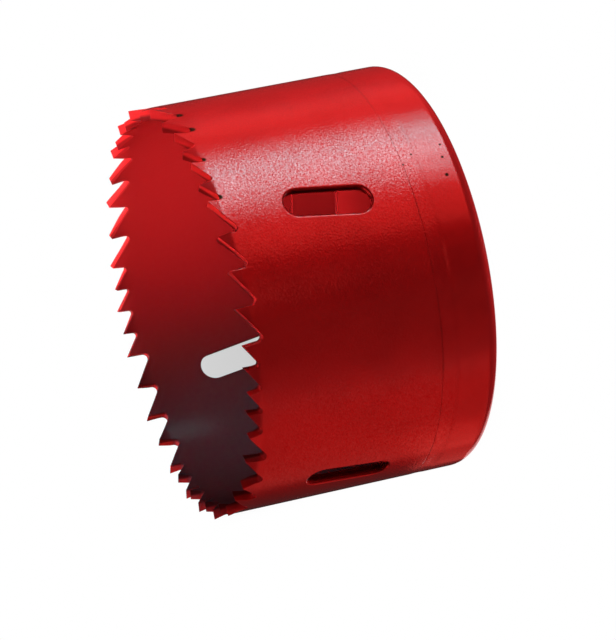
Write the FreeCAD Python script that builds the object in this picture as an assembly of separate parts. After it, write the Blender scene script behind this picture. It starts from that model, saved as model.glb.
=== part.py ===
"""Hole saw: a toothed, slotted ring of strip steel welded to a drawn end cap.

The saw stands on its flat back. Z runs up the axis towards the tooth tips,
and the origin is the centre of the back face. Lengths are in millimetres and
angles in degrees, counted anticlockwise seen from the mouth.
"""

import os
import FreeCAD
import Part
from math import acos, atan2, cos, degrees, hypot, pi, radians, sin

V = FreeCAD.Vector
UP = V(0, 0, 1)
ORIGIN = V(0, 0, 0)

# Size of the saw
CUT_DIAMETER = 73.0
HEIGHT = 46.5
RING_WALL = 1.8
JOINT_HEIGHT = 11.0
JOINT_BREAK = 0.15

# End cap, drawn from sheet
CAP_SHEET = 2.0
CAP_CORNER = 2.6
CAP_BEND = 0.6
THREAD_MAJOR = 15.875
HUB_WALL = 1.6
HUB_LENGTH = 5.0
HUB_FOOT = 0.6
HUB_BREAK = 0.4
MOUTH_BREAK = 0.5
PIN_COUNT = 4
PIN_CIRCLE = 27.0
PIN_HOLE = 6.6

# Teeth: groups of four wide gaps and four narrow gaps, with one odd gap at the weld
TOOTH_COUNT = 44
GROUP = 4
NARROW_GAP = 6.72
WIDE_RATIO = 1.5
WELD_SHARE = 0.87
FIRST_TOOTH = 79.3
GULLET_SHARE = 0.55
GULLET_ROUND_SHARE = 0.24
RAKE = -3.0
TIP_LAND = 0.14
SET_OFFSET = 0.5
SET_HEIGHT = 2.2

# Slots punched through the ring at an even pitch along the strip
SLOT_COUNT = 4
SLOT_PITCH = 87.4
SLOT_MIDDLE = 224.4
SLOT_LENGTH = 15.7
SLOT_WIDTH = 5.2
SLOT_HEIGHT = 26.1
SLOT_LEAN = 8.5

# Sizes that follow
RADIUS = CUT_DIAMETER / 2
RING_INNER = RADIUS - RING_WALL
CAP_INNER = RADIUS - CAP_SHEET
BEND_LINE = HEIGHT - SET_HEIGHT
MARGIN = 2.0


def revolved(points, angle=360.0, start=0.0):
    """Solid of the closed outline points, given as (radius, height), turned about Z."""
    wire = Part.makePolygon([V(r, 0, z) for r, z in points + points[:1]])
    face = Part.Face(wire)
    face.rotate(ORIGIN, UP, start)
    return face.revolve(ORIGIN, UP, angle)


def radial_prism(outline, middle, depth):
    """Prism along the radius at the angle middle, from outside the ring inwards by depth.

    The outline is a closed wire in the YZ plane, with Y along the rim."""
    prism = Part.Face(outline).extrude(V(-depth, 0, 0))
    prism.translate(V(RADIUS + MARGIN, 0, 0))
    prism.rotate(ORIGIN, UP, middle)
    return prism


def gap_angles():
    """Angle from each tooth tip to the next, in order round the rim.

    The gap at the weld takes what the pattern leaves of the full turn."""
    gaps = []
    for tooth in range(TOOTH_COUNT):
        wide = (tooth // GROUP) % 2 == 0 and tooth < TOOTH_COUNT - GROUP
        gaps.append(NARROW_GAP * WIDE_RATIO if wide else NARROW_GAP)
    weld = int(WELD_SHARE * TOOTH_COUNT) % TOOTH_COUNT
    gaps[weld] = 0.0
    gaps[weld] = 360.0 - sum(gaps)
    return gaps


def chord(gap):
    """Straight distance between two tips that stand gap degrees apart."""
    return 2 * RADIUS * sin(radians(gap / 2))


def gullet_round(pitch):
    """Radius of the gullet's round, with its centre's place along the rim from mid-gap and its height.

    A gap shorter than the narrow one is cut as deep as the narrow one."""
    depth = GULLET_SHARE * max(pitch, chord(NARROW_GAP))
    turn = GULLET_ROUND_SHARE * depth
    lean = radians(RAKE)
    drop = (depth - turn - turn * sin(lean)) / cos(lean)
    along = (TIP_LAND - pitch) / 2 - drop * sin(lean) + turn * cos(lean)
    return turn, along, HEIGHT - depth + turn


def gullet_outline(pitch):
    """Wire round the space between two tips that stand pitch apart.

    The steep rake face drops from the first tip, a round gullet turns it, and
    the long back of the next tooth climbs tangent to the gullet."""
    turn, middle_y, middle_z = gullet_round(pitch)
    left = (-pitch / 2 + TIP_LAND / 2, HEIGHT)
    right = (pitch / 2 - TIP_LAND / 2, HEIGHT)
    reach = hypot(right[0] - middle_y, right[1] - middle_z)
    sight = atan2(right[1] - middle_z, right[0] - middle_y)
    leave = sight - acos(turn / reach)
    enter = -pi - radians(RAKE)

    def on_gullet(angle):
        return V(0, middle_y + turn * cos(angle), middle_z + turn * sin(angle))

    rake_top = V(0, *left)
    rake_foot = on_gullet(enter)
    back_foot = on_gullet(leave)
    back_top = V(0, *right)
    lift = V(0, 0, MARGIN)
    edges = [
        Part.makeLine(rake_top, rake_foot),
        Part.Arc(rake_foot, on_gullet((enter + leave) / 2), back_foot).toShape(),
        Part.makeLine(back_foot, back_top),
        Part.makeLine(back_top, back_top + lift),
        Part.makeLine(back_top + lift, rake_top + lift),
        Part.makeLine(rake_top + lift, rake_top),
    ]
    return Part.Wire(edges)


def slot_outline():
    """Round-ended slot outline in the YZ plane, leaning along the rim towards the teeth."""
    half = (SLOT_LENGTH - SLOT_WIDTH) / 2
    turn = SLOT_WIDTH / 2
    edges = [
        Part.makeLine(V(0, -turn, -half), V(0, -turn, half)),
        Part.Arc(V(0, -turn, half), V(0, 0, half + turn), V(0, turn, half)).toShape(),
        Part.makeLine(V(0, turn, half), V(0, turn, -half)),
        Part.Arc(V(0, turn, -half), V(0, 0, -half - turn), V(0, -turn, -half)).toShape(),
    ]
    outline = Part.Wire(edges)
    outline.rotate(ORIGIN, V(1, 0, 0), -SLOT_LEAN)
    outline.translate(V(0, 0, SLOT_HEIGHT))
    return outline


def slotted_ring():
    """Plain ring up to the line where the teeth bend, with its slots."""
    ring = revolved([
        (RING_INNER, JOINT_HEIGHT),
        (RADIUS - JOINT_BREAK, JOINT_HEIGHT),
        (RADIUS, JOINT_HEIGHT + JOINT_BREAK),
        (RADIUS, BEND_LINE),
        (RING_INNER, BEND_LINE),
    ])
    first = SLOT_MIDDLE - SLOT_PITCH * (SLOT_COUNT - 1) / 2
    for slot in range(SLOT_COUNT):
        middle = first + slot * SLOT_PITCH
        ring = ring.cut(radial_prism(slot_outline(), middle, RING_WALL + 2 * MARGIN))
    return ring


def set_teeth(gaps):
    """Upper part of every tooth before the gullets are cut, bent out and in by turns.

    A tooth runs from the lowest point of the gullet behind it to the lowest point of its own."""
    lowest = [gap / 2 + degrees(gullet_round(chord(gap))[1] / RADIUS) for gap in gaps]
    teeth = []
    tip = FIRST_TOOTH
    for tooth in range(TOOTH_COUNT):
        start = tip - gaps[tooth - 1] + lowest[tooth - 1]
        end = tip + lowest[tooth]
        shift = SET_OFFSET if tooth % 2 == 0 else -SET_OFFSET
        section = [
            (RING_INNER, BEND_LINE),
            (RADIUS, BEND_LINE),
            (RADIUS + shift, HEIGHT),
            (RING_INNER + shift, HEIGHT),
        ]
        teeth.append(revolved(section, end - start, start))
        tip += gaps[tooth]
    return teeth


def gullets(gaps):
    """One cutter for each space between two tips."""
    cutters = []
    tip = FIRST_TOOTH
    for gap in gaps:
        depth = RING_WALL + 2 * MARGIN
        cutters.append(radial_prism(gullet_outline(chord(gap)), tip + gap / 2, depth))
        tip += gap
    return cutters


def toothed_ring():
    """Ring of strip with set teeth, round gullets and slots."""
    gaps = gap_angles()
    blank = slotted_ring().multiFuse(set_teeth(gaps))
    return blank.cut(Part.makeCompound(gullets(gaps)))


def end_cap():
    """Drawn cup with a rounded corner, an inner thread hub and the drive pin holes."""
    bore = THREAD_MAJOR / 2
    hub = bore + HUB_WALL
    cup = revolved([
        (bore, MOUTH_BREAK),
        (bore + MOUTH_BREAK, 0),
        (RADIUS, 0),
        (RADIUS, JOINT_HEIGHT - JOINT_BREAK),
        (RADIUS - JOINT_BREAK, JOINT_HEIGHT),
        (CAP_INNER, JOINT_HEIGHT),
        (CAP_INNER, CAP_SHEET + CAP_BEND),
        (CAP_INNER - CAP_BEND, CAP_SHEET),
        (hub + HUB_FOOT, CAP_SHEET),
        (hub, CAP_SHEET + HUB_FOOT),
        (hub, HUB_LENGTH - HUB_BREAK),
        (hub - HUB_BREAK, HUB_LENGTH),
        (bore, HUB_LENGTH),
    ])
    cup = cup.makeFillet(CAP_CORNER, [circle_edge(cup, RADIUS, 0)])
    for pin in range(PIN_COUNT):
        hole = Part.makeCylinder(PIN_HOLE / 2, CAP_SHEET + 2 * MARGIN, V(PIN_CIRCLE / 2, 0, -MARGIN))
        hole.rotate(ORIGIN, UP, (pin + 0.5) * 360 / PIN_COUNT)
        cup = cup.cut(hole)
    return cup


def circle_edge(shape, radius, height):
    """Edge of shape that runs round the axis at the radius and height."""
    for edge in shape.Edges:
        if isinstance(edge.Curve, Part.Circle) and edge.Curve.Axis.isParallel(UP, 0.01):
            centre = edge.Curve.Center
            level = abs(centre.z - height) < 1e-4
            if level and hypot(centre.x, centre.y) < 1e-4 and abs(edge.Curve.Radius - radius) < 1e-4:
                return edge
    raise ValueError("no edge at radius %.3f, height %.3f" % (radius, height))


os.makedirs("parts", exist_ok=True)
pieces = {"toothed_ring": toothed_ring(), "end_cap": end_cap()}
for name, shape in pieces.items():
    shape.Solids[0].exportStep("parts/%s.step" % name)
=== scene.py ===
"""Hole saw on a pale floor: its painted skin, its paint and a plain studio.

Lengths are in metres and angles in degrees, counted anticlockwise seen from the mouth.
"""

import bpy
import numpy as np
from mathutils import Matrix, Quaternion, Vector


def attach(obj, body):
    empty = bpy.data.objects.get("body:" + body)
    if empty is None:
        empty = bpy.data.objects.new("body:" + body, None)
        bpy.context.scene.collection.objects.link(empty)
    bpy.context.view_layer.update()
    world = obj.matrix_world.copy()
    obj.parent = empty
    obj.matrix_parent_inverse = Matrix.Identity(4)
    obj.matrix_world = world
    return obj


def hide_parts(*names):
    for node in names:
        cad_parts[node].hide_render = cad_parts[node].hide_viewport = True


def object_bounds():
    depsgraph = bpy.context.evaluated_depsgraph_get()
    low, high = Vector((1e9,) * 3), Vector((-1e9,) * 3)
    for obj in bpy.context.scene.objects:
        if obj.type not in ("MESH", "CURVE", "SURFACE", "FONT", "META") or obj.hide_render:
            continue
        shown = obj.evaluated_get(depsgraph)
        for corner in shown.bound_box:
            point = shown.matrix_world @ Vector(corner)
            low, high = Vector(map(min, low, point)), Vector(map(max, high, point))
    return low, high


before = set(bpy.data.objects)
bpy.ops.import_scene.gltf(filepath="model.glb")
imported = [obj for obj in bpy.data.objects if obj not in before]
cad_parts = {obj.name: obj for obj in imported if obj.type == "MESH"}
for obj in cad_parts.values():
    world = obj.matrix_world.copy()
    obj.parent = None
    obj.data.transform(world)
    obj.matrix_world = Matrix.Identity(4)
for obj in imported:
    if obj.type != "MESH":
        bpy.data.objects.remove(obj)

CAD_BOX = [list(corner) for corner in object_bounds()]
MM = 0.001

bl_info = {
    "name": "Hole saw",
    "version": (1, 0, 0),
    "blender": (4, 5, 0),
    "location": "View3D > Sidebar > Hole saw",
    "description": "Makes the skin, the paint and the studio of a hole saw",
    "category": "Object",
}


# Sizes and colours that a user would change


def length_setting(name, millimetres, description):
    """Length property with its default given in millimetres."""
    return bpy.props.FloatProperty(
        name=name, description=description, default=millimetres * MM, unit="LENGTH"
    )


def angle_setting(name, degrees, description):
    """Angle property, kept in radians, with its default given in degrees."""
    return bpy.props.FloatProperty(
        name=name, description=description, default=np.radians(degrees), subtype="ANGLE"
    )


def number_setting(name, default, description):
    """Plain number property."""
    return bpy.props.FloatProperty(name=name, description=description, default=default)


def colour_setting(name, default, description):
    """Colour property."""
    return bpy.props.FloatVectorProperty(
        name=name, description=description, default=default, subtype="COLOR"
    )


class SawSizes(bpy.types.PropertyGroup):
    """Sizes of the ring and the end cap."""

    diameter: length_setting("Cut diameter", 73.0, "Outside diameter of the ring")
    height: length_setting("Height", CAD_BOX[1][2] / MM, "Height from the back face to the tips")
    wall: length_setting("Ring wall", 1.8, "Thickness of the ring")
    sheet: length_setting("Cap sheet", 2.0, "Thickness of the end cap")
    joint: length_setting("Joint height", 11.0, "Height at which ring and cap meet")
    corner: length_setting("Cap corner", 2.6, "Radius of the cap's outer corner")
    bend: length_setting("Cap bend", 0.6, "Radius of the cap's inner corner")
    bore: length_setting("Bore", 15.875, "Largest diameter of the thread")
    thread_pitch: length_setting("Thread pitch", 1.411, "Distance from ridge to ridge")
    mouth_break: length_setting("Mouth break", 0.5, "Width of the cone at the back of the bore")
    hub_wall: length_setting("Hub wall", 1.6, "Thickness of the hub round the thread")
    hub_length: length_setting("Hub length", 5.0, "Height of the hub's top above the back face")
    hub_foot: length_setting("Hub foot", 0.6, "Radius between the hub and the cap's floor")
    hub_edge: length_setting("Hub edge", 0.4, "Radius of the hub's top edge")
    pin_circle: length_setting("Pin circle", 27.0, "Diameter of the circle of drive pin holes")
    pin_hole: length_setting("Pin hole", 6.6, "Diameter of a drive pin hole")
    pin_edge: length_setting("Pin hole edge", 0.25, "Radius of a pin hole's edge at the back")
    edge: length_setting("Tooth edge", 0.07, "Radius of the paint over a tooth's edge")
    slot_edge: length_setting("Slot edge", 0.25, "Radius of the rolled edge of a slot")
    joint_edge: length_setting("Joint edge", 0.025, "Radius of each side of the joint's line")
    weld_dip: length_setting("Weld hollow", 0.05, "Depth of the hollow beside the joint")


class ToothSizes(bpy.types.PropertyGroup):
    """Sizes of the teeth and the slots."""

    count: bpy.props.IntProperty(name="Teeth", description="Number of teeth", default=44)
    group: bpy.props.IntProperty(name="Group", description="Gaps of one width in a row", default=4)
    narrow: angle_setting("Narrow gap", 6.72, "Angle between two close tips")
    wide_ratio: number_setting("Wide ratio", 1.5, "Wide gap over narrow gap")
    weld_share: number_setting("Weld place", 0.87, "Share of the teeth before the weld")
    first: angle_setting("First tip", 79.3, "Angle of the first tip")
    gullet_share: number_setting("Gullet depth", 0.55, "Gullet depth over pitch")
    round_share: number_setting("Gullet round", 0.24, "Gullet radius over its depth")
    rake: angle_setting("Rake", -3.0, "Lean of the rake face")
    land: length_setting("Tip land", 0.14, "Width of a tip")
    set_offset: length_setting("Set", 0.5, "How far a tip is bent out or in")
    set_height: length_setting("Set height", 2.2, "Height of the bent part of a tooth")
    slot_count: bpy.props.IntProperty(name="Slots", description="Number of slots", default=4)
    slot_pitch: angle_setting("Slot pitch", 87.4, "Angle between two slots")
    slot_middle: angle_setting("Slot middle", 224.4, "Angle of the middle of the row of slots")
    slot_length: length_setting("Slot length", 15.7, "Length of a slot")
    slot_width: length_setting("Slot width", 5.2, "Width of a slot")
    slot_height: length_setting("Slot height", 26.1, "Height of a slot's centre")
    slot_lean: angle_setting("Slot lean", 8.5, "Lean of a slot")


class PaintLooks(bpy.types.PropertyGroup):
    """Colours and gloss of the paint."""

    red: colour_setting("Red", (0.62, 0.0145, 0.016), "Colour of the paint")
    shine: number_setting("Flake", 0.4, "Share of the metallic gleam under the gloss")
    blur: number_setting("Blur", 0.38, "Roughness under the gloss")
    gleam: colour_setting("Gleam", (1.0, 0.2, 0.2), "Colour of the metallic gleam seen aslant")
    gloss: number_setting("Gloss", 0.12, "Roughness of the clear film")
    film: number_setting("Film", 1.38, "Refractive index of the clear film")
    grain: length_setting("Grain", 0.24, "Width of the speckles in the film")
    peel: length_setting("Orange peel", 0.36, "Width of the film's bumps")
    relief: length_setting("Relief", 0.03, "Height of the film's bumps")
    patch: length_setting("Patch", 9.0, "Width of the patches where the coat is thicker")
    speckle: number_setting("Speckle", 3.8, "How much the film's share changes from speckle to speckle")
    # Painted shade: how dark the red is inside the saw and on the slots' walls, over the paint's own
    # colour
    painted_shade: number_setting("Lining", 0.25, "Colour of the thin coat inside over the coat outside")
    bare: colour_setting("Bare", (0.03, 0.012, 0.006), "Colour of the flecks without paint")
    floor: colour_setting("Floor", (1.0, 1.0, 1.0), "Colour of the floor")


# Skin built from grids of points

# Two faces that meet at more than this angle keep a sharp edge
SHARP_ANGLE = np.radians(35)


class Skin:
    """Points and faces gathered as whole arrays, joined by shared indices."""

    def __init__(self):
        self.points = []
        self.faces = []
        self.count = 0

    def add(self, points):
        """Takes an array whose last axis is a point, and gives the indices in the same layout."""
        points = np.asarray(points, float)
        index = self.count + np.arange(points[..., 0].size).reshape(points.shape[:-1])
        self.points.append(points.reshape(-1, points.shape[-1]))
        self.count += index.size
        return index

    def quads(self, a, b, c, d):
        """One face for each place in four equal arrays of indices, anticlockwise seen from outside."""
        self.faces.append(np.stack([a, b, c, d], -1).reshape(-1, 4))

    def grid(self, index, closed=False, flip=False):
        """Faces between the rows and columns of an array of indices.

        Rows run outwards or upwards and columns anticlockwise. Closed joins the last column to
        the first, and flip turns the faces over."""
        if closed:
            index = np.concatenate([index, index[:, :1]], 1)
        low, high = index[:-1], index[1:]
        if flip:
            self.quads(low[:, :-1], high[:, :-1], high[:, 1:], low[:, 1:])
        else:
            self.quads(low[:, :-1], low[:, 1:], high[:, 1:], high[:, :-1])

    def zip_rings(self, upper, upper_angle, lower, lower_angle):
        """Triangles between two closed rings of points with different spacing.

        Both rings' angles are sorted into one row. Each angle there makes a triangle with the
        point before it on its own ring and the latest point of the other ring."""
        start = upper_angle[0]
        turn = np.mod(lower_angle - start, 2 * np.pi)
        order = np.argsort(turn)
        lower, lower_turn = lower[order], turn[order]
        both = np.concatenate([upper_angle - start, lower_turn])
        kind = np.concatenate([np.zeros(len(upper), bool), np.ones(len(lower), bool)])
        order = np.argsort(both, kind="stable")
        kind = kind[order]
        seen_low = np.cumsum(kind)
        seen_up = np.cumsum(~kind)
        up = seen_up[~kind] - 1
        other = seen_low[~kind] - 1
        self.quads(upper[up - 1], lower[other], upper[up], upper[up])
        low = seen_low[kind] - 1
        other = seen_up[kind] - 1
        self.quads(upper[other], lower[low - 1], lower[low], lower[low])

    def mesh(self, name):
        """Blender mesh of the points that faces use, shaded smooth but for its sharp edges."""
        points = np.concatenate(self.points)
        faces = np.concatenate(self.faces)
        used = np.unique(faces)
        new = np.zeros(len(points), np.int64)
        new[used] = np.arange(len(used))
        faces = new[faces]
        three = faces[:, 2] == faces[:, 3]
        sizes = np.where(three, 3, 4)
        corners = faces[np.stack([np.ones(len(faces), bool)] * 3 + [~three], 1)]
        mesh = bpy.data.meshes.new(name)
        mesh.vertices.add(len(used))
        mesh.vertices.foreach_set("co", points[used].astype(np.float32).ravel())
        mesh.loops.add(len(corners))
        mesh.loops.foreach_set("vertex_index", corners.astype(np.int32))
        mesh.polygons.add(len(faces))
        starts = np.concatenate([[0], np.cumsum(sizes)[:-1]])
        mesh.polygons.foreach_set("loop_start", starts.astype(np.int32))
        mesh.polygons.foreach_set("use_smooth", np.ones(len(faces), bool))
        mesh.update(calc_edges=True)
        if mesh.validate():
            raise ValueError(name + ": the grid has broken faces")
        mesh.set_sharp_from_angle(angle=SHARP_ANGLE)
        return mesh


def finish_piece(mesh, nodes, material):
    """Object for a finished mesh, with its paint, that stands for the named nodes."""
    piece = bpy.data.objects.new(mesh.name, mesh)
    bpy.context.scene.collection.objects.link(piece)
    mesh.materials.append(material)
    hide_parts(*nodes)
    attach(piece, "root")
    return piece


def arc(centre, radius, start, end, count):
    """Points on a circle from the angle start to end in degrees: centre plus radius times (cos, sin)."""
    angle = np.radians(np.linspace(start, end, count))
    return np.array(centre) + radius * np.stack([np.cos(angle), np.sin(angle)], -1)


def rays(count):
    """Angles of count even steps round the axis, and the unit vector (cos, sin) of each."""
    angle = np.arange(count) * 2 * np.pi / count
    return angle, np.stack([np.cos(angle), np.sin(angle)], -1)


def raised(points, height):
    """Flat points (x, y) with their height as a third coordinate."""
    return np.concatenate([points, np.broadcast_to(height, points.shape[:-1] + (1,))], -1)


# Angles of the points along a rolled edge, and how far it has left the sheet and gone in by then
ROLL_TURNS = np.radians([30, 60, 90])
ROLL_AWAY = np.sin(ROLL_TURNS)
ROLL_IN = 1 - np.cos(ROLL_TURNS)


# Toothed ring

# Points along a tooth's rake face, its gullet and its back
RAKE_POINTS = 7
GULLET_POINTS = 12
BACK_POINTS = 10

# Even grid of the ring's wall: columns round it, rows above and below the slots' blocks,
# rows and columns of a block and half its height
RING_COLUMNS = 480
ROWS_ABOVE = 4
ROWS_BELOW = 8
BLOCK_ROWS = 40
BLOCK_COLUMNS = 24
BLOCK_REACH = 9.6 * MM

# Room between the deepest gullet, the triangles below it and the grid, and above the joint's edge
GULLET_ROOM = 2.2 * MM
TRIANGLE_ROOM = 0.8 * MM
JOINT_ROOM = 0.3 * MM

# Distance from a slot's centre along its axis to where its rings start
SLOT_AXIS = 10 * MM

# Radius of a slot's inner edge over that of its outer edge
INNER_ROLL = 0.6

# Share of a tooth's bent part over which the bend starts softly
SOFT_BEND = 0.15


def tooth_line(saw, teeth):
    """Outline of the teeth on the flat strip: (distance along the rim, height, bend) for each point.

    Each gap has a straight rake face, a round gullet tangent to it and a straight back tangent
    to the gullet. Bend is 1 where the tooth is set outwards and -1 where it is set inwards."""
    radius = saw.diameter / 2
    tooth = np.arange(teeth.count)
    wide = ((tooth // teeth.group) % 2 == 0) & (tooth < teeth.count - teeth.group)
    gaps = teeth.narrow * np.where(wide, teeth.wide_ratio, 1.0)
    weld = int(teeth.weld_share * teeth.count)
    gaps[weld] += 2 * np.pi - gaps.sum()
    tips = teeth.first + np.concatenate([[0], np.cumsum(gaps)[:-1]])
    pitch = radius * gaps[:, None]
    middle = radius * (tips + gaps / 2)[:, None]
    depth = teeth.gullet_share * np.maximum(pitch, radius * teeth.narrow)
    turn = teeth.round_share * depth
    drop = (depth - turn - turn * np.sin(teeth.rake)) / np.cos(teeth.rake)
    left = (teeth.land - pitch) / 2
    right = -left
    across = left - drop * np.sin(teeth.rake) + turn * np.cos(teeth.rake)
    centre = saw.height - depth + turn
    reach = np.hypot(right - across, saw.height - centre)
    leave = np.arctan2(saw.height - centre, right - across) - np.arccos(turn / reach)
    enter = -np.pi - teeth.rake
    share = np.linspace(0, 1, RAKE_POINTS)[None, :-1]
    foot = across + turn * np.cos(enter), centre + turn * np.sin(enter)
    rake = left + (foot[0] - left) * share, saw.height + (foot[1] - saw.height) * share
    angle = enter + (leave - enter) * np.linspace(0, 1, GULLET_POINTS)[None, :]
    gullet = across + turn * np.cos(angle), centre + turn * np.sin(angle)
    share = np.linspace(0, 1, BACK_POINTS)[None, 1:]
    start = across + turn * np.cos(leave), centre + turn * np.sin(leave)
    back = start[0] + (right - start[0]) * share, start[1] + (saw.height - start[1]) * share
    local = np.concatenate([rake[0], gullet[0], back[0]], 1)
    height = np.concatenate([rake[1], gullet[1], back[1]], 1)
    side = np.where(tooth % 2 == 0, 1.0, -1.0)[:, None]
    bend = np.where(local <= across, side, np.roll(side, -1))
    return np.stack([middle + local, height, bend], -1).reshape(-1, 3)


def inset(line, amount, around):
    """A closed line moved into the sheet on its right by amount, with mitred corners.

    Each point moves along the sum of its two edge normals over one plus their dot product.
    Around is the length after which the line repeats."""
    step = np.roll(line[:, :2], -1, 0) - line[:, :2]
    step[-1, 0] += around
    normal = np.stack([step[:, 1], -step[:, 0]], -1)
    normal /= np.linalg.norm(normal, axis=1, keepdims=True)
    before = np.roll(normal, 1, 0)
    mitre = (normal + before) / (1 + (normal * before).sum(1, keepdims=True))
    moved = line.copy()
    moved[:, :2] += amount * mitre
    return moved


def stadium(share, length, width, lean):
    """Points on a round-ended slot outline, anticlockwise from the top of its long axis.

    Share runs from 0 to 1 along the outline: half an arc, a side, an arc, a side, half an arc.
    The whole is turned by the lean towards the next slot."""
    half = (length - width) / 2
    turn = width / 2
    quarter = np.pi * turn / 2
    way = np.mod(share, 1.0) * (4 * half + 4 * quarter)
    marks = np.cumsum([quarter, 2 * half, 2 * quarter, 2 * half])
    angle = np.where(way < marks[0], way / turn, 0.0)
    top = (-turn * np.sin(angle), half + turn * np.cos(angle))
    left = (np.full_like(way, -turn), half - (way - marks[0]))
    angle = (way - marks[1]) / turn
    foot = (-turn * np.cos(angle), -half - turn * np.sin(angle))
    right = (np.full_like(way, turn), -half + (way - marks[2]))
    angle = (way - marks[3]) / turn
    last = (turn * np.cos(angle), half + turn * np.sin(angle))
    parts = [way < marks[0], way < marks[1], way < marks[2], way < marks[3]]
    x = np.select(parts, [top[0], left[0], foot[0], right[0]], last[0])
    y = np.select(parts, [top[1], left[1], foot[1], right[1]], last[1])
    return np.stack([x * np.cos(lean) + y * np.sin(lean), y * np.cos(lean) - x * np.sin(lean)], -1)


def slot_rings(plan, saw, teeth, middle, border, loop):
    """Rings of the plan from a slot's rolled rim to the border of its block. Gives the slot's edge.

    Border holds the indices of the block's outline, and loop its places as (distance along the
    rim, height) from the slot's centre. Each ring is the rim times one minus a share plus the
    loop times the share."""
    radius = saw.diameter / 2
    roll = saw.slot_edge
    axis = [SLOT_AXIS * np.sin(teeth.slot_lean), BLOCK_REACH]
    start = np.argmin(np.hypot(*(loop - axis).T))
    border = np.roll(border, -start)
    loop = np.roll(loop, -start, 0)
    way = np.linalg.norm(np.roll(loop, -1, 0) - loop, axis=1)
    share = np.concatenate([[0], np.cumsum(way)[:-1]]) / way.sum()
    rim = stadium(share, teeth.slot_length + 2 * roll, teeth.slot_width + 2 * roll, teeth.slot_lean)
    hole = stadium(share, teeth.slot_length, teeth.slot_width, teeth.slot_lean)
    blend = np.array([0, 0.04, 0.1, 0.18, 0.3, 0.45, 0.62, 0.8])[:, None, None]

    def placed(spots):
        return raised(spots / [radius, 1] + [middle, teeth.slot_height], 0.0)

    index = plan.add(placed(rim * (1 - blend) + loop * blend))
    plan.grid(np.concatenate([index, border[None]]), closed=True, flip=True)
    return index[0], placed(hole), roll, roll * INNER_ROLL


def ring_sheet(saw, teeth):
    """Flat plan of the ring's wall and its edges.

    The plan's points are (angle, height, bend). Columns hang from the tooth line down to a level
    ring, a row of triangles joins them to an even grid, and round each slot the grid gives way
    to rings that change from the slot's outline to the square block around it. An edge is the
    indices of its line in the plan, the line's true place and its outer and inner radius."""
    radius = saw.diameter / 2
    plan = Skin()
    line = tooth_line(saw, teeth)
    inner = inset(line, saw.edge, 2 * np.pi * radius)
    level = saw.height - teeth.gullet_share * radius * teeth.narrow * teeth.wide_ratio - GULLET_ROOM
    share = np.array([0, 0.02, 0.06, 0.12, 0.2, 0.27, 0.33, 0.39, 0.46, 0.56, 0.68, 0.82, 1.0])
    height = inner[:, 1] + (level - inner[:, 1]) * share[:, None]
    hang = np.stack(np.broadcast_arrays(inner[:, 0] / radius, height, inner[:, 2]), -1)
    upper = plan.add(hang)
    plan.grid(upper, closed=True, flip=True)
    edges = [(upper[0], line / [radius, 1, 1], saw.edge, saw.edge)]

    block_top = teeth.slot_height + BLOCK_REACH
    block_foot = teeth.slot_height - BLOCK_REACH
    foot = saw.joint + saw.joint_edge
    rows = np.concatenate([
        np.linspace(level - TRIANGLE_ROOM, block_top, ROWS_ABOVE + 1)[:-1],
        np.linspace(block_top, block_foot, BLOCK_ROWS + 1),
        np.linspace(block_foot, foot + JOINT_ROOM, ROWS_BELOW + 1)[1:],
        [foot],
    ])
    angle = rays(RING_COLUMNS)[0]
    even = np.stack(np.broadcast_arrays(angle[None, :], rows[:, None], 0.0), -1)
    lower = plan.add(even)
    plan.zip_rings(upper[-1], hang[-1, :, 0], lower[0], angle)

    keep = np.ones((len(rows) - 1, RING_COLUMNS), bool)
    faces = slice(ROWS_ABOVE, ROWS_ABOVE + BLOCK_ROWS)
    points = slice(ROWS_ABOVE, ROWS_ABOVE + BLOCK_ROWS + 1)
    first = teeth.slot_middle - teeth.slot_pitch * (teeth.slot_count - 1) / 2
    for slot in range(teeth.slot_count):
        middle = first + slot * teeth.slot_pitch
        start = int(round(middle / (2 * np.pi) * RING_COLUMNS)) - BLOCK_COLUMNS // 2
        wide = np.arange(start, start + BLOCK_COLUMNS + 1) % RING_COLUMNS
        keep[faces][:, wide[:-1]] = False
        place = even[points][:, wide][..., :2] - [middle, teeth.slot_height]
        place[..., 0] = (place[..., 0] + np.pi) % (2 * np.pi) - np.pi
        loop = outline_of(place * [radius, 1])
        edges.append(slot_rings(plan, saw, teeth, middle, outline_of(lower[points][:, wide]), loop))
    low, high = lower[1:], lower[:-1]
    after = np.roll(np.arange(RING_COLUMNS), -1)
    plan.quads(low[keep], low[:, after][keep], high[:, after][keep], high[keep])
    joint = even[-1].copy()
    joint[:, 1] = saw.joint
    edges.append((lower[-1][::-1], joint[::-1], saw.joint_edge, saw.joint_edge))
    return plan, edges


def outline_of(square):
    """Values round the border of a grid, anticlockwise from the right end of its first, top row."""
    return np.concatenate([square[0, :0:-1], square[:-1, 0], square[-1, :-1], square[:0:-1, -1]])


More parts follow.
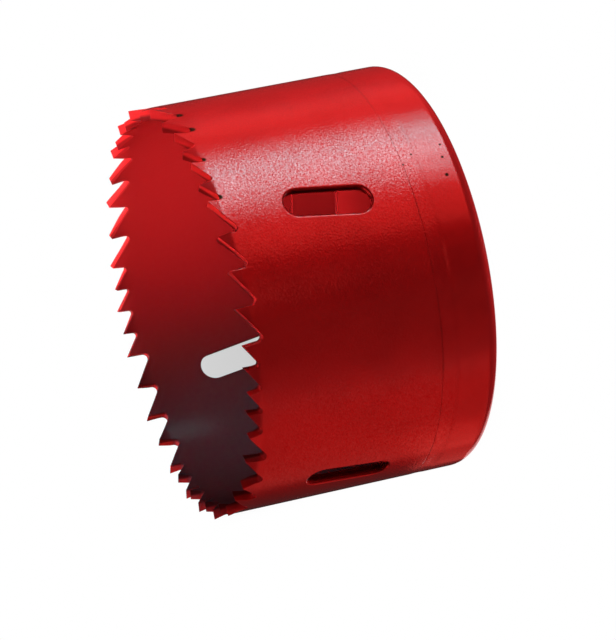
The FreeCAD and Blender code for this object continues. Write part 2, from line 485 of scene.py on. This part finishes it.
def ring_mesh(saw, teeth):
    """Mesh of the ring: its plan laid on the outside and the inside, joined by rolled edges.

    A plan point (angle, height, bend) at a depth lies at the radius R minus the depth plus the
    bend times the set times a ramp that starts softly at the bend line. A rolled edge leaves the
    sheet by the sine of its angle and goes in by one minus the cosine."""
    radius = saw.diameter / 2

    def place(plan, depth):
        rise = (plan[..., 1] - (saw.height - teeth.set_height)) / teeth.set_height
        start = (np.clip(rise, -SOFT_BEND, SOFT_BEND) + SOFT_BEND) ** 2 / (4 * SOFT_BEND)
        ramp = np.where(rise < SOFT_BEND, start, rise)
        out = radius + plan[..., 2] * teeth.set_offset * ramp - depth
        return np.stack([out * np.cos(plan[..., 0]), out * np.sin(plan[..., 0]), plan[..., 1]], -1)

    plan, edges = ring_sheet(saw, teeth)
    sheet = np.concatenate(plan.points)
    faces = np.concatenate(plan.faces)
    skin = Skin()
    outer = skin.add(place(sheet, 0.0))
    inner = skin.add(place(sheet, saw.wall))
    skin.faces += [outer[faces], turn_over(inner[faces])]
    for index, line, outer_roll, inner_roll in edges:
        start = sheet[index]
        away = np.concatenate([ROLL_AWAY, ROLL_AWAY[::-1]])
        depth = np.concatenate([outer_roll * ROLL_IN, saw.wall - inner_roll * ROLL_IN[::-1]])
        rows = start + (line - start) * away[:, None, None]
        rows[..., 2] = start[:, 2]
        middle = skin.add(place(rows, depth[:, None]))
        skin.grid(np.concatenate([outer[index][None], middle, inner[index][None]]), closed=True)
    return skin.mesh("toothed_ring_skin")


def turn_over(faces):
    """The same faces seen from the other side. A triangle keeps its repeated last corner."""
    three = faces[:, 2] == faces[:, 3]
    return np.where(three[:, None], faces[:, [0, 2, 1, 1]], faces[:, ::-1])


# End cap

PIN_COUNT = 4

# Columns round the cap, and steps of the spokes between two pin holes
CAP_COLUMNS = 360
SPOKE_STEPS = 12

# Radius at which the plates with the pin holes end
PLATE_RADIUS = 20 * MM

# Bevel of a pin hole inside the cap, and heights of the points down the hole from the back
PIN_BEVEL = 0.02 * MM
PIN_LEVELS = np.array([0.4, 1.2, 1.9]) * MM

# Weld hollow, below the joint: where its two sides start and how wide they are, from where to where
# the wall has its finer rows, and how many rows are fine and how many plain
HOLLOW_FOOT = 3.4 * MM
HOLLOW_FOOT_WIDTH = 1.1 * MM
HOLLOW_TOP = 1.7 * MM
HOLLOW_TOP_WIDTH = 1.5 * MM
FINE_FOOT = 3.5 * MM
FINE_TOP = 0.3 * MM
FINE_ROWS = 33
PLAIN_ROWS = 10

# Radius of the rim's inner edge, and flats left beside the rounded edges
RIM_EDGE = 0.12 * MM
RIM_FLAT = 0.8 * MM
WIDE_FLAT = 0.3 * MM
FLAT = 0.2 * MM
NARROW_FLAT = 0.1 * MM
BORE_FLAT = 0.15 * MM

# Extra circles of points: radii on the back and on the floor inside, heights up the wall inside
BACK_CIRCLES = (24 * MM, 29 * MM)
FLOOR_CIRCLES = (30 * MM, 25 * MM)
WALL_CIRCLES = (10.6 * MM, 9.0 * MM, 7.0 * MM, 5.0 * MM, 3.4 * MM, 2.8 * MM)

# Depth of the thread over its pitch, and rows of points along it
THREAD_DEPTH = 0.541
THREAD_ROWS = 80


def pin_plate(skin, saw, inner_radius, hole, height, up):
    """Flat plate round the hub with the drive pin holes. Gives its circles and hole outlines.

    Each quarter is filled with rings that change from the hole's circle to the quarter's border
    along straight lines through the hole's centre."""
    ray = rays(CAP_COLUMNS)[1]
    inside = skin.add(raised(inner_radius * ray, height))
    outside = skin.add(raised(PLATE_RADIUS * ray, height))
    spread = np.linspace(inner_radius, PLATE_RADIUS, SPOKE_STEPS + 1)[1:-1]
    quarter = CAP_COLUMNS // PIN_COUNT
    spokes = skin.add(raised(spread[:, None] * ray[::quarter, None], height))
    holes = []
    spots = np.concatenate(skin.points)
    for place in range(PIN_COUNT):
        here = np.arange(place * quarter, (place + 1) * quarter + 1) % CAP_COLUMNS
        after = (place + 1) % PIN_COUNT
        border = np.concatenate([outside[here], spokes[after][::-1], inside[here][::-1], spokes[place]])
        middle = np.radians((place + 0.5) * 360 / PIN_COUNT)
        centre = saw.pin_circle / 2 * np.array([np.cos(middle), np.sin(middle)])
        ends = spots[border][:, :2]
        way = ends - centre
        circle = centre + hole * way / np.linalg.norm(way, axis=1, keepdims=True)
        blend = np.array([0, 0.03, 0.08, 0.16, 0.28, 0.44, 0.65])[:, None, None]
        index = skin.add(raised(circle * (1 - blend) + ends * blend, height))
        skin.grid(np.concatenate([index, border[None]]), closed=True, flip=up)
        holes.append((index[0], circle, centre))
    return inside, outside, holes


def pin_wall(skin, saw, low, low_line, centre, high, high_line):
    """Wall of one pin hole, from its rounded edge at the back up to its outline inside the cap."""
    pin = saw.pin_hole / 2
    way = (low_line - centre) / np.linalg.norm(low_line - centre, axis=1, keepdims=True)
    out = np.concatenate([pin + saw.pin_edge * (1 - ROLL_AWAY), np.full(len(PIN_LEVELS), pin)])
    up = np.concatenate([saw.pin_edge * ROLL_IN, PIN_LEVELS])
    index = skin.add(raised(centre + out[:, None, None] * way, up[:, None, None]))
    skin.grid(np.concatenate([low[None], index]), closed=True, flip=True)
    skin.faces.append(match_ring(high, high_line - centre, index[-1], way))


def match_ring(high, high_way, low, low_way):
    """Triangles between two closed rings round one centre, whose points look different ways."""
    zipper = Skin()
    first = np.arctan2(high_way[:, 1], high_way[:, 0])
    second = np.arctan2(low_way[:, 1], low_way[:, 0])
    order = np.argsort(first)
    zipper.zip_rings(high[order], first[order], low, second)
    return np.concatenate([turn_over(part) for part in zipper.faces])


def thread_radius(saw, angle, height):
    """Radius of the bore at an angle and a height: a right-hand thread with flat crests and roots.

    It is the crest radius plus the distance from the crest's edge times the tangent of 60
    degrees, held to the thread's depth, and never less than the cones at the two mouths."""
    pitch = saw.thread_pitch
    major = saw.bore / 2
    deep = THREAD_DEPTH * pitch
    away = np.abs(np.mod(height / pitch - angle / (2 * np.pi), 1.0) - 0.5) * pitch
    radius = major - deep + np.clip((away - pitch / 8) * np.sqrt(3), 0, deep)
    mouth = np.maximum(major + saw.mouth_break - height, major - (saw.hub_length - height))
    return np.maximum(radius, mouth)


def soft_step(height, start, width):
    """0 below start, 1 above start plus width, and three times the square less twice the cube between."""
    share = np.clip((height - start) / width, 0, 1)
    return share * share * (3 - 2 * share)


def cap_profile(saw):
    """Profile (radius, height) of the cup, from the back round the rim to the floor inside.

    Its wall has a smooth shallow hollow beside the joint."""
    radius = saw.diameter / 2
    inside = radius - saw.sheet
    edge = saw.joint_edge
    wall = np.concatenate([
        np.linspace(saw.corner + FLAT, saw.joint - FINE_FOOT - NARROW_FLAT, PLAIN_ROWS),
        np.linspace(saw.joint - FINE_FOOT, saw.joint - FINE_TOP, FINE_ROWS),
        [saw.joint - edge - NARROW_FLAT],
    ])
    rise = soft_step(wall, saw.joint - HOLLOW_FOOT, HOLLOW_FOOT_WIDTH)
    fall = soft_step(wall, saw.joint - HOLLOW_TOP, HOLLOW_TOP_WIDTH)
    return np.concatenate([
        [(circle, 0) for circle in (*BACK_CIRCLES, radius - saw.corner - WIDE_FLAT)],
        arc((radius - saw.corner, saw.corner), saw.corner, -90, 0, 13),
        np.stack([radius - saw.weld_dip * (rise - fall), wall], -1),
        arc((radius - edge, saw.joint - edge), edge, 0, 90, 4),
        [(radius - RIM_FLAT, saw.joint), (inside + 3 * RIM_EDGE, saw.joint)],
        arc((inside + RIM_EDGE, saw.joint - RIM_EDGE), RIM_EDGE, 90, 180, 5),
        [(inside, level) for level in WALL_CIRCLES],
        arc((inside - saw.bend, saw.sheet + saw.bend), saw.bend, 0, -90, 7),
        [(circle, saw.sheet) for circle in (inside - saw.bend - WIDE_FLAT, *FLOOR_CIRCLES)],
    ])


def hub_profile(saw):
    """Profile (radius, height) of the hub, from the floor inside the cap to the top of the bore."""
    bore = saw.bore / 2
    hub = bore + saw.hub_wall
    foot = saw.hub_foot
    edge = saw.hub_edge
    top = saw.hub_length
    return np.concatenate([
        arc((hub + foot, saw.sheet + foot), foot, -90, -180, 7)[1:],
        [(hub, saw.sheet + foot + WIDE_FLAT), (hub, top - edge - FLAT)],
        arc((hub - edge, top - edge), edge, 0, 90, 6),
        [(hub - edge - FLAT, top), (bore + BORE_FLAT, top)],
    ])


def cap_mesh(saw):
    """Mesh of the end cap: plates with pin holes, a turned cup with a rounded corner and a hub.

    The cup and the hub are profiles (radius, height) turned about the axis, and the bore's
    radius is the thread's at each angle and height."""
    skin = Skin()
    bore = saw.bore / 2
    pin = saw.pin_hole / 2
    angle, ray = rays(CAP_COLUMNS)

    def turned(profile):
        return raised(profile[:, :1, None] * ray, profile[:, 1, None, None])

    mouth, back_ring, back_holes = pin_plate(
        skin, saw, bore + saw.mouth_break, pin + saw.pin_edge, 0.0, False
    )
    root, floor_ring, floor_holes = pin_plate(
        skin, saw, bore + saw.hub_wall + saw.hub_foot, pin + PIN_BEVEL, saw.sheet, True
    )
    body = skin.add(turned(cap_profile(saw)))
    skin.grid(np.concatenate([back_ring[None], body, floor_ring[None]]), closed=True)
    shell = skin.add(turned(hub_profile(saw)))
    level = np.linspace(saw.hub_length, 0, THREAD_ROWS + 1)[:-1, None]
    out = thread_radius(saw, angle, level)
    thread = skin.add(raised(out[..., None] * ray, level[..., None]))
    skin.grid(np.concatenate([root[None], shell, thread, mouth[None]]), closed=True)
    for (low, low_line, centre), (high, high_line, _) in zip(back_holes, floor_holes):
        pin_wall(skin, saw, low, low_line, centre, high, high_line)
    return skin.mesh("end_cap_skin")


# Paint

# Noise between which the coat goes from thin to thick, and its colour there over the paint's own
COAT_RANGE = (0.35, 0.7)
THIN_COAT = 1.04
THICK_COAT = 0.93

# Painted shade inside the saw: distances out from the wall's inner face between which it ends, heights
# above the back between which it starts, and the share of the film that it takes away
PAINTED_SHADE_END = (0.3 * MM, 0.9 * MM)
PAINTED_SHADE_FOOT = (1 * MM, 2 * MM)
PAINTED_SHADE_DULL = 0.75

# Heights between which the slots' walls come to have the painted shade and lose it, and how much further
# out it reaches there
SLOTS_FOOT = (14 * MM, 17 * MM)
SLOTS_TOP = (36 * MM, 39 * MM)
SLOTS_SHIFT = 0.5 * MM

# Line along the joint: how far it wavers, how far it reaches to each side, the noise between which
# it comes in, its strength and its colour over the paint's own
LINE_WAVER = 0.6 * MM
LINE_REACH = 0.35 * MM
LINE_RANGE = (0.3, 0.6)
LINE_SHARE = 0.4
LINE_COLOUR = 0.5

# Half the height over which the grain weakens, its weakest share, how far the speckles are moved
# from the bumps, and the largest share of the film that they count from
COVER_REACH = 2.5 * MM
COVER_LEAST = 0.4
GRAIN_SHIFT = 3 * MM
SPECKLE_LIMIT = 0.06


class Value:
    """A shader socket. Sums, differences and products of it add their Math nodes."""

    def __init__(self, graph, socket):
        self.graph = graph
        self.socket = socket

    def __add__(self, other):
        return self.graph.math("ADD", self, other)

    def __sub__(self, other):
        return self.graph.math("SUBTRACT", self, other)

    def __rsub__(self, other):
        return self.graph.math("SUBTRACT", other, self)

    def __mul__(self, other):
        return self.graph.math("MULTIPLY", self, other)

    __radd__ = __add__
    __rmul__ = __mul__

    def step(self, low, high):
        """Smooth step from 0 at low to 1 at high."""
        settings = {"interpolation_type": "SMOOTHSTEP"}
        return self.graph.node("ShaderNodeMapRange", settings, self, low, high, 0.0, 1.0)[0]


class Graph:
    """Node tree of one material."""

    def __init__(self, name):
        self.material = bpy.data.materials.new(name)
        self.material.use_nodes = True
        self.tree = self.material.node_tree
        self.tree.nodes.clear()

    def node(self, kind, settings=None, *values, **named):
        """Adds a node, sets it up, and gives its sockets values or links in order or by name.

        A name's underscores stand for spaces. Gives the node's outputs as a list of values."""
        made = self.tree.nodes.new(kind)
        for key, setting in (settings or {}).items():
            setattr(made, key, setting)
        pairs = list(zip([socket for socket in made.inputs if socket.enabled], values))
        pairs += [(made.inputs[key.replace("_", " ")], value) for key, value in named.items()]
        for socket, value in pairs:
            if isinstance(value, Value):
                self.tree.links.new(value.socket, socket)
            else:
                socket.default_value = value
        return [Value(self, socket) for socket in made.outputs if socket.enabled]

    def math(self, operation, *values, clamp=False):
        """Result of a Math node, kept from 0 to 1 if clamp is true."""
        return self.node("ShaderNodeMath", {"operation": operation, "use_clamp": clamp}, *values)[0]

    def place(self):
        """Object coordinates and their height."""
        spot = self.node("ShaderNodeTexCoord")[3]
        height = self.node("ShaderNodeSeparateXYZ", None, spot)[2]
        return spot, height

    def noise(self, spot, width, detail, roughness=0.5, shift=0.0):
        """Noise with bumps of the given width, from 0 to 1, moved by shift so that two noises differ."""
        moved = self.node("ShaderNodeMapping", None, spot, (shift, shift * 0.7, -shift))[0]
        made = self.node(
            "ShaderNodeTexNoise", None, moved, Scale=1 / width, Detail=detail, Roughness=roughness
        )
        return made[0]

    def mix(self, share, first, second):
        """Colour from first to second as share goes from 0 to 1."""
        settings = {"data_type": "RGBA"}
        return self.node("ShaderNodeMix", settings, share, first, second)[0]

    def finish(self, shader):
        """Gives the material its surface."""
        self.node("ShaderNodeOutputMaterial", None, Surface=shader)
        return self.material


def colour(rgb, times=1.0):
    """Colour with full opacity, made lighter or darker."""
    return tuple(channel * times for channel in rgb) + (1.0,)


# Bare flecks in the paint: angle in degrees, height and radius in millimetres
FLECKS = (
    (190.9, 3.1, 0.3),
    (186.9, 3.6, 0.35),
    (181.4, 4.0, 0.45),
    (189.6, 8.8, 0.25),
    (186.8, 10.9, 0.25),
    (225.3, 43.0, 1.0),
    (215.2, 43.0, 0.9),
    (201.3, 44.1, 0.6),
    (187.9, 44.1, 0.6),
)

# Depth of the flecks' centres under the wall's face
FLECK_DEPTH = 0.1 * MM


def flecks(graph, spot, wall):
    """1 inside the flecks and 0 outside, from the distance to each fleck's centre near the wall."""
    found = 0.0
    for degrees, height, radius in FLECKS:
        turn = np.radians(degrees)
        reach = wall - FLECK_DEPTH
        centre = (reach * np.cos(turn), reach * np.sin(turn), height * MM)
        away = graph.node("ShaderNodeVectorMath", {"operation": "DISTANCE"}, spot, centre)[-1]
        found = found + (1 - away.step(radius * 0.5 * MM, radius * MM))
    return found


def painted_shade_mask(graph, saw, spot, height):
    """Painted shade: 1 on the inside of the saw, 0 on the outside, with smooth steps of the distance from
    the axis.

    At the height of the slots the step lies further out, so that their walls get painted shade too. The
    back face has none."""
    flat = graph.node("ShaderNodeVectorMath", {"operation": "MULTIPLY"}, spot, (1.0, 1.0, 0.0))[0]
    out = graph.node("ShaderNodeVectorMath", {"operation": "LENGTH"}, flat)[-1]
    inside = saw.diameter / 2 - saw.wall
    shift = height.step(*SLOTS_FOOT) * (1 - height.step(*SLOTS_TOP)) * SLOTS_SHIFT
    outside = out.step(inside + PAINTED_SHADE_END[0] + shift, inside + PAINTED_SHADE_END[1] + shift)
    return (1 - outside) * height.step(*PAINTED_SHADE_FOOT)


def joint_mask(graph, saw, height, thick):
    """1 in the middle of a wavering line along the joint, less where the coat is thin."""
    level = height + (thick - 0.5) * LINE_WAVER
    away = graph.math("ABSOLUTE", level - saw.joint)
    return (1 - away.step(0.0, LINE_REACH)) * thick.step(*LINE_RANGE)


def gloss_paint(name, saw, looks, smooth_below):
    """Red gloss paint with an orange peel grain that weakens below the height smooth_below.

    Colour: slow noise darkens the red a little where the coat is thick. Painted shade inside the saw, a
    line along the joint and the bare flecks are darker. Normal: noise of the peel's width. Film: its
    Fresnel share plus a small part of it times noise of the grain's width, less where the shade is
    painted inside and none on the flecks. Both noises are held down by a smooth step of the height."""
    graph = Graph(name)
    spot, height = graph.place()
    thick = graph.noise(spot, looks.patch, detail=3.0)
    coat = thick.step(*COAT_RANGE)
    red = graph.mix(coat, colour(looks.red, THIN_COAT), colour(looks.red, THICK_COAT))
    # Painted shade: the inside of the saw and the slots' walls are darker
    painted_shade = painted_shade_mask(graph, saw, spot, height)
    red = graph.mix(painted_shade, red, colour(looks.red, looks.painted_shade))
    line = joint_mask(graph, saw, height, thick) * LINE_SHARE
    red = graph.mix(line, red, colour(looks.red, LINE_COLOUR))
    bare = flecks(graph, spot, saw.diameter / 2)
    red = graph.mix(bare, red, colour(looks.bare))

    cover = height.step(smooth_below - COVER_REACH, smooth_below + COVER_REACH)
    cover = cover * (1 - COVER_LEAST) + COVER_LEAST
    peel = graph.noise(spot, looks.peel, detail=1.0, roughness=0.4) * cover
    normal = graph.node("ShaderNodeBump", None, Strength=1.0, Distance=looks.relief, Height=peel)[0]
    body = graph.node(
        "ShaderNodeBsdfPrincipled",
        None,
        Base_Color=red,
        Metallic=looks.shine,
        Roughness=looks.blur,
        Specular_IOR_Level=0.0,
        Specular_Tint=colour(looks.gleam),
        Normal=normal,
    )[0]
    film = graph.node(
        "ShaderNodeBsdfPrincipled",
        None,
        Base_Color=(1.0, 1.0, 1.0, 1.0),
        Metallic=1.0,
        Roughness=looks.gloss,
        Normal=normal,
    )[0]
    share = graph.node("ShaderNodeFresnel", None, looks.film, normal)[0]
    grain = graph.noise(spot, looks.grain, detail=0.0, shift=GRAIN_SHIFT)
    dots = graph.math("MINIMUM", share, SPECKLE_LIMIT) * (grain - 0.5) * cover * looks.speckle
    # Less film where the shade is painted inside, and none on the flecks
    left = (1 - painted_shade * PAINTED_SHADE_DULL) * (1 - bare)
    share = graph.math("MULTIPLY", share + dots, left, clamp=True)
    return graph.finish(graph.node("ShaderNodeMixShader", None, share, body, film)[0])


# Shadow on the floor: turn of its axis in degrees, and along and across it where each soft side
# starts and ends
SHADOW_TURN = 16.5
SHADOW_NEAR = (-30 * MM, 30 * MM)
SHADOW_FAR = (142 * MM, 172 * MM)
SHADOW_SIDE = (14 * MM, 36 * MM)


def floor_light(tone):
    """Evenly lit floor with a soft grey shadow on the side away from the key lamp.

    Along is the distance from the axis in the shadow's direction and aside the distance across
    it. The shadow is the product of smooth steps of both, and grows lighter along it."""
    graph = Graph("pale_floor")
    spot = graph.place()[0]
    settings = {"rotation_type": "Z_AXIS"}
    turned = graph.node("ShaderNodeVectorRotate", settings, spot, Angle=np.radians(SHADOW_TURN))[0]
    along, aside = graph.node("ShaderNodeSeparateXYZ", None, turned)[:2]
    aside = graph.math("ABSOLUTE", aside)
    shade = (1 - aside.step(*SHADOW_SIDE)) * (1 - along.step(*SHADOW_FAR)) * along.step(*SHADOW_NEAR)
    dark = graph.mix(along + 0.5, colour((0.0, 0.0, 0.0)), colour(tone))
    light = graph.mix(shade, colour(tone), dark)
    return graph.finish(graph.node("ShaderNodeEmission", None, light, 1.0)[0])


# Operators

# Heights below which the grain weakens: never on the ring, and near the joint on the cap
RING_SMOOTH = -10 * MM
CAP_SMOOTH = 8.5 * MM


class SAW_OT_ring(bpy.types.Operator):
    """Make the toothed ring's skin"""

    bl_idname = "saw.ring"
    bl_label = "Toothed ring"

    def execute(self, context):
        scene = context.scene
        paint = gloss_paint("ring_paint", scene.saw_sizes, scene.paint_looks, RING_SMOOTH)
        finish_piece(ring_mesh(scene.saw_sizes, scene.tooth_sizes), ["toothed_ring"], paint)
        return {"FINISHED"}


class SAW_OT_cap(bpy.types.Operator):
    """Make the end cap's skin with its hub, thread and pin holes"""

    bl_idname = "saw.cap"
    bl_label = "End cap"

    def execute(self, context):
        scene = context.scene
        paint = gloss_paint("cap_paint", scene.saw_sizes, scene.paint_looks, CAP_SMOOTH)
        finish_piece(cap_mesh(scene.saw_sizes), ["end_cap"], paint)
        return {"FINISHED"}


# Stage

WHITE = (1.0, 1.0, 1.0)
COOL = (0.18, 1.0, 1.08)
RED = (1.0, 0.1, 0.08)
PINK = (1.0, 0.6, 0.6)
SKY = (0.0, 0.8, 1.0)

# Point that the soft boxes face
MIDDLE = Vector((0, 0, 24 * MM))

# Soft boxes round the saw: azimuth, elevation, distance, width and height in degrees, power, colour
# and the part of the paint that each one serves
BOXES = {
    "key_core": (227, -19, 0.6, 18, 30, 0.55, COOL, "gloss"),
    "key": (225, -19, 0.6, 31, 30, 1.75, COOL, "gloss"),
    "key_wide": (225, -19, 0.6, 44, 30, 0.9, COOL, "gloss"),
    "sheen_front": (160, -8, 0.8, 14, 14, 0.25, RED, "gloss"),
    "sheen_rim": (20, 45, 0.6, 60, 40, 1.1, RED, "gloss"),
    "sheen_foot": (66, -20, 0.6, 64, 34, 0.85, RED, "gloss"),
    "sheen_side": (122, -20, 0.6, 48, 34, 0.25, RED, "gloss"),
    "sheen_high": (204, -20, 0.6, 48, 34, 1.36, RED, "gloss"),
    "sheen_top": (254, -20, 0.6, 42, 34, 0.62, RED, "gloss"),
    "floor_gleam": (-3, -35, 0.6, 40, 22, 0.33, PINK, "gloss"),
    "fill_side": (100, -15, 0.7, 20, 30, 0.7, WHITE, "body"),
    "fill_front": (200, -15, 0.7, 20, 30, 0.4, WHITE, "body"),
    "fill_top": (275, -15, 0.7, 20, 30, 10.5, WHITE, "body"),
    "fill_foot": (180, -90, 0.7, 20, 20, 4.6, WHITE, "body"),
    "fill_back": (340, -20, 0.7, 40, 30, 1.5, WHITE, "body"),
}

# Narrow beams into the mouth: azimuth and elevation, radius and height of the aim, distance, power
# and colour
BEAMS = {
    "beam_down": (250, 90, 0.008, 0.0, 0.6, 0.026, WHITE),
    "beam_far": (90, 40, -0.03, 0.036, 0.3, 0.0152, WHITE),
    "beam_steep": (130, 60, -0.03, 0.036, 0.3, 0.024, WHITE),
    "beam_back": (340, 45, -0.03, 0.032, 0.3, 0.005, WHITE),
    "beam_near": (170, 45, -0.03, 0.036, 0.3, 0.0015, WHITE),
    "beam_cool": (200, 45, -0.03, 0.032, 0.3, 0.035, SKY),
}

# Spread of a beam in degrees, and its distance over its width
BEAM_SPREAD = 10
BEAM_RATIO = 15

# Faint strip lamp beside the cap's lower corner: what it faces, azimuth, elevation, distance and size
GLOW_AIM = Vector((-3 * MM, 36 * MM, 5 * MM))
GLOW_TURN = 31
GLOW_RISE = -19
GLOW_AWAY = 60 * MM
GLOW_SIZE = (60 * MM, 14 * MM)
GLOW_POWER = 0.0018

# Camera: the point that it faces, azimuth, elevation and roll in degrees, distance, focal length and
# width of its sensor in millimetres, and the distances between which it sees
CAMERA_AIM = Vector((1.81 * MM, 5.48 * MM, 22.74 * MM))
CAMERA_TURN = 159.2
CAMERA_RISE = 18.37
CAMERA_ROLL = -101.74
CAMERA_AWAY = 687.7 * MM
CAMERA_LENS = 217.32
CAMERA_SENSOR = 36
CAMERA_CLIP = (0.05, 40)

# Strength of the faint light from all sides
WORLD_STRENGTH = 0.025

# Floor: its depth below the back face, its points round the axis and the radii of its rings
FLOOR_DROP = 0.2 * MM
FLOOR_COLUMNS = 64
FLOOR_RADII = np.array([0.001, 4, 12])


def direction(azimuth, elevation):
    """Unit vector at an azimuth from +X and an elevation above the floor, in degrees."""
    turn, rise = np.radians([azimuth, elevation])
    return Vector((np.cos(turn) * np.cos(rise), np.sin(turn) * np.cos(rise), np.sin(rise)))


def lamp(name, place, aim, size, power, tint, part, spread=180):
    """Soft rectangular lamp at place, facing aim. Size is its width and height.

    A lamp for the body leaves no reflection, and one for the gloss gives only that."""
    data = bpy.data.lights.new(name, "AREA")
    data.shape = "RECTANGLE"
    data.size, data.size_y = size
    data.energy = power
    data.color = tint
    data.spread = np.radians(spread)
    made = bpy.data.objects.new(name, data)
    bpy.context.scene.collection.objects.link(made)
    made.location = place
    made.rotation_mode = "QUATERNION"
    made.rotation_quaternion = (aim - place).to_track_quat("-Z", "Y")
    made.visible_camera = False
    made.visible_glossy = part == "gloss"
    made.visible_diffuse = part == "body"


def make_lamps():
    """Every lamp of the studio."""
    for name, (turn, rise, away, wide, high, power, tint, part) in BOXES.items():
        size = 2 * away * np.tan(np.radians([wide / 2, high / 2]))
        lamp(name, MIDDLE + away * direction(turn, rise), MIDDLE, size, power, tint, part)
    glow = GLOW_AIM + GLOW_AWAY * direction(GLOW_TURN, GLOW_RISE)
    lamp("cap_glow", glow, GLOW_AIM, GLOW_SIZE, GLOW_POWER, RED, "gloss")
    for name, (turn, rise, out, height, away, power, tint) in BEAMS.items():
        aim = Vector((0, 0, height)) + out * direction(turn, 0)
        size = (away / BEAM_RATIO, away / BEAM_RATIO)
        lamp(name, aim + away * direction(turn, rise), aim, size, power, tint, "body", BEAM_SPREAD)


def make_floor(scene):
    """Pale disc just under the saw that only the camera sees.

    Its points are a radius times (cos, sin) of an angle, and one at the centre."""
    skin = Skin()
    ray = rays(FLOOR_COLUMNS)[1]
    rings = skin.add(raised(FLOOR_RADII[:, None, None] * ray, -FLOOR_DROP))
    skin.grid(rings, closed=True, flip=True)
    centre = np.full(FLOOR_COLUMNS, skin.add([[0, 0, -FLOOR_DROP]])[0])
    skin.quads(rings[0], np.roll(rings[0], -1), centre, centre)
    mesh = skin.mesh("floor")
    mesh.materials.append(floor_light(scene.paint_looks.floor))
    floor = bpy.data.objects.new("floor", mesh)
    scene.collection.objects.link(floor)
    floor.visible_diffuse = False
    floor.visible_glossy = False
    floor.visible_shadow = False


def make_world(scene):
    """Faint even light from all sides that doesn't light the body of the paint."""
    world = bpy.data.worlds.new("studio")
    world.use_nodes = True
    sockets = world.node_tree.nodes["Background"].inputs
    sockets["Color"].default_value = (1, 1, 1, 1)
    sockets["Strength"].default_value = WORLD_STRENGTH
    scene.world = world
    world.cycles_visibility.diffuse = False


def make_camera(scene):
    """Camera at the photograph's angle."""
    data = bpy.data.cameras.new("camera")
    data.sensor_width = CAMERA_SENSOR
    data.lens = CAMERA_LENS
    data.clip_start, data.clip_end = CAMERA_CLIP
    camera = bpy.data.objects.new("camera", data)
    scene.collection.objects.link(camera)
    view = direction(CAMERA_TURN, CAMERA_RISE)
    turn = view.to_track_quat("Z", "Y") @ Quaternion((0, 0, 1), np.radians(CAMERA_ROLL))
    camera.matrix_world = Matrix.LocRotScale(CAMERA_AIM + CAMERA_AWAY * view, turn, None)
    scene.camera = camera


class SAW_OT_stage(bpy.types.Operator):
    """Make the pale floor, the soft lamps and the camera"""

    bl_idname = "saw.stage"
    bl_label = "Stage"

    def execute(self, context):
        scene = context.scene
        make_floor(scene)
        make_world(scene)
        make_lamps()
        make_camera(scene)
        scene.view_settings.view_transform = "Standard"
        return {"FINISHED"}


OPERATORS = (SAW_OT_ring, SAW_OT_cap, SAW_OT_stage)


class SAW_PT_panel(bpy.types.Panel):
    """Lists the operators in the sidebar"""

    bl_label = "Hole saw"
    bl_space_type = "VIEW_3D"
    bl_region_type = "UI"
    bl_category = "Hole saw"

    def draw(self, context):
        for operator in OPERATORS:
            self.layout.operator(operator.bl_idname)


GROUPS = {"saw_sizes": SawSizes, "tooth_sizes": ToothSizes, "paint_looks": PaintLooks}


def register():
    for kind in (*GROUPS.values(), *OPERATORS, SAW_PT_panel):
        bpy.utils.register_class(kind)
    for name, kind in GROUPS.items():
        setattr(bpy.types.Scene, name, bpy.props.PointerProperty(type=kind))


def unregister():
    for name in GROUPS:
        delattr(bpy.types.Scene, name)
    for kind in (SAW_PT_panel, *OPERATORS, *GROUPS.values()):
        bpy.utils.unregister_class(kind)


def main():
    """Makes every piece and the stage."""
    register()
    for operator in OPERATORS:
        group, name = operator.bl_idname.split(".")
        getattr(getattr(bpy.ops, group), name)()


if __name__ == "__main__":
    main()
